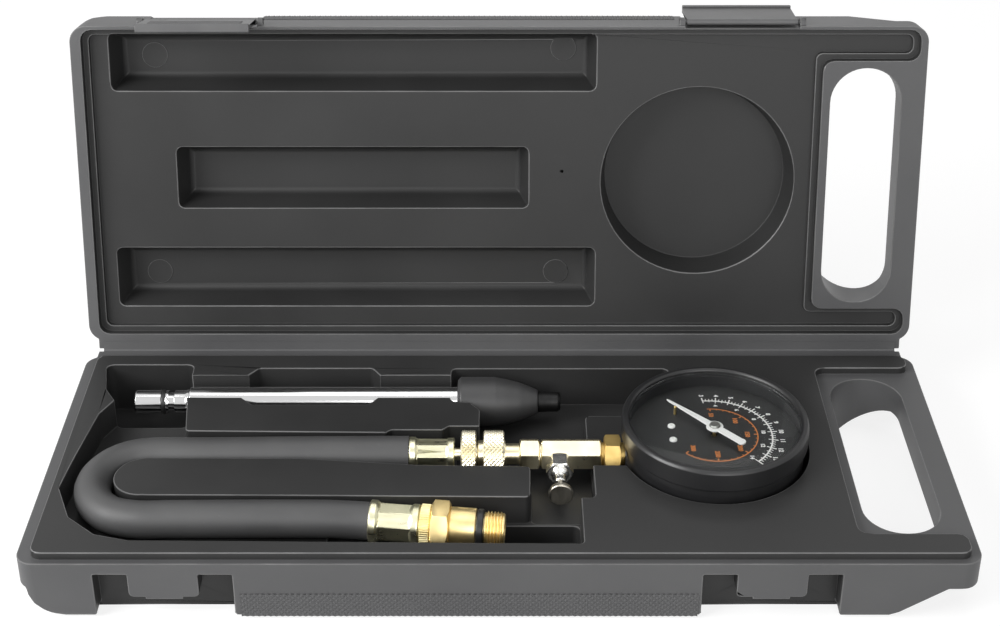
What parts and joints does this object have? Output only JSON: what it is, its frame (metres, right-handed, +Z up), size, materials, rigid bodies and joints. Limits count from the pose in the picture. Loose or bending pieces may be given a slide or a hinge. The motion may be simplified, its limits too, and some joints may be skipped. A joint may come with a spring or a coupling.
{
  "type": "engine compression tester",
  "caption": "Compression tester in an open moulded case: round pressure gauge with tee, relief valve, quick coupler and hose, and a rubber-cone push-in probe.",
  "frame": {"origin": "centre of the case's flat underside", "axes": "+X along the hinge towards the gauge and handle, +Y from the latches to the hinge, +Z up"},
  "size_m": [0.36, 0.2, 0.1758],
  "materials": {
    "case_plastic": "blow-moulded, fine leather-like grain",
    "latch_plastic": "satin",
    "gauge_plastic": "semi-gloss",
    "clear_lens": "clear",
    "dial_paint": "matt black",
    "movement_brass": "turned",
    "bare_brass": "satin",
    "pointer_paint": "white",
    "cap_metal": "satin",
    "plated_brass": "pale yellow plating",
    "chrome": "bright",
    "spring_steel": "bright",
    "yellow_zinc": "yellow passivated zinc",
    "hose_rubber": "matt",
    "gold_brass": "bright",
    "seal_rubber": "satin",
    "cone_rubber": "matt",
    "tip_metal": "satin"
  },
  "bodies": {
    "case": {"case_base": "case_plastic", "hinge_web": "case_plastic"},
    "lid": {"case_lid": "case_plastic"},
    "latch_left": {"latch_left": "latch_plastic"},
    "latch_right": {"latch_right": "latch_plastic"},
    "tester": {"gauge_case": "gauge_plastic", "gauge_bezel": "gauge_plastic", "gauge_lens": "clear_lens", "dial_plate": "dial_paint", "movement_plates": "movement_brass", "movement_pillars": "movement_brass", "bourdon_tube": "movement_brass", "gauge_socket": "bare_brass", "tee_body": "plated_brass", "relief_valve_body": "chrome", "relief_spring": "spring_steel", "coupler_body": "plated_brass", "coupler_balls": "spring_steel", "coupler_spring": "spring_steel", "hose_plug": "plated_brass", "ferrule_upper": "yellow_zinc", "hose": "hose_rubber", "ferrule_lower": "yellow_zinc", "swivel_ring": "gold_brass", "adaptor_body": "gold_brass", "adaptor_seal": "seal_rubber", "valve_core": "bare_brass"},
    "pointer": {"pinion_arbor": "movement_brass", "pointer": "pointer_paint", "pointer_cap": "cap_metal"},
    "sector": {"sector_gear": "movement_brass"},
    "link": {"link_rod": "movement_brass"},
    "button": {"relief_button": "chrome"},
    "sleeve": {"coupler_sleeve": "plated_brass"},
    "probe": {"probe_plug": "chrome", "probe_seal": "seal_rubber", "probe_tube": "chrome", "probe_cone": "cone_rubber", "probe_tip": "tip_metal"}
  },
  "joints": [
    {"name": "lid_hinge", "type": "hinge", "parent": "case", "child": "lid", "pos_m": [0, 0.0745, 0.02615], "axis": [-1, 0, 0], "range_deg": [-102, 78]},
    {"name": "latch_left_turn", "type": "hinge", "parent": "lid", "child": "latch_left", "pos_m": [-0.1252, 0.10787, 0.16801], "axis": [-1, 0, 0], "range_deg": [-4, 176]},
    {"name": "latch_right_turn", "type": "hinge", "parent": "lid", "child": "latch_right", "pos_m": [0.1019, 0.10787, 0.16801], "axis": [-1, 0, 0], "range_deg": [-176, 4]},
    {"name": "tester_lift", "type": "slide", "parent": "case", "child": "tester", "axis": [0, 0, 1], "range_m": [0, 0.09]},
    {"name": "probe_lift", "type": "slide", "parent": "case", "child": "probe", "axis": [0, 0, 1], "range_m": [0, 0.09]},
    {"name": "relief_press", "type": "slide", "parent": "tester", "child": "button", "axis": [0, 1, 0], "range_m": [0, 0.0015], "stiffness_N_per_m": 500, "springref_m": -0.001},
    {"name": "sleeve_pull", "type": "slide", "parent": "tester", "child": "sleeve", "axis": [1, 0, 0], "range_m": [0, 0.0025], "stiffness_N_per_m": 600, "springref_m": -0.001},
    {"name": "sector_swing", "type": "hinge", "parent": "tester", "child": "sector", "pos_m": [0.10061, 0.00517, 0.0247], "axis": [0, 0, 1], "range_deg": [0, 45], "stiffness_Nm_per_rad": 0.002, "springref_deg": -2.86},
    {"name": "pointer_turn", "type": "hinge", "parent": "tester", "child": "pointer", "pos_m": [0.0864, 0, 0.0247], "axis": [0, 0, 1], "range_deg": [-270, 0]},
    {"name": "link_swing", "type": "hinge", "parent": "sector", "child": "link", "pos_m": [0.10203, 0.01048, 0.0247], "axis": [0, 0, 1], "range_deg": [-57.5, 0]}
  ],
  "couplings": [
    {"joint": "pointer_turn", "follows": "sector_swing", "ratio": -6},
    {"joint": "link_swing", "follows": "sector_swing", "ratio": -1.264}
  ]
}
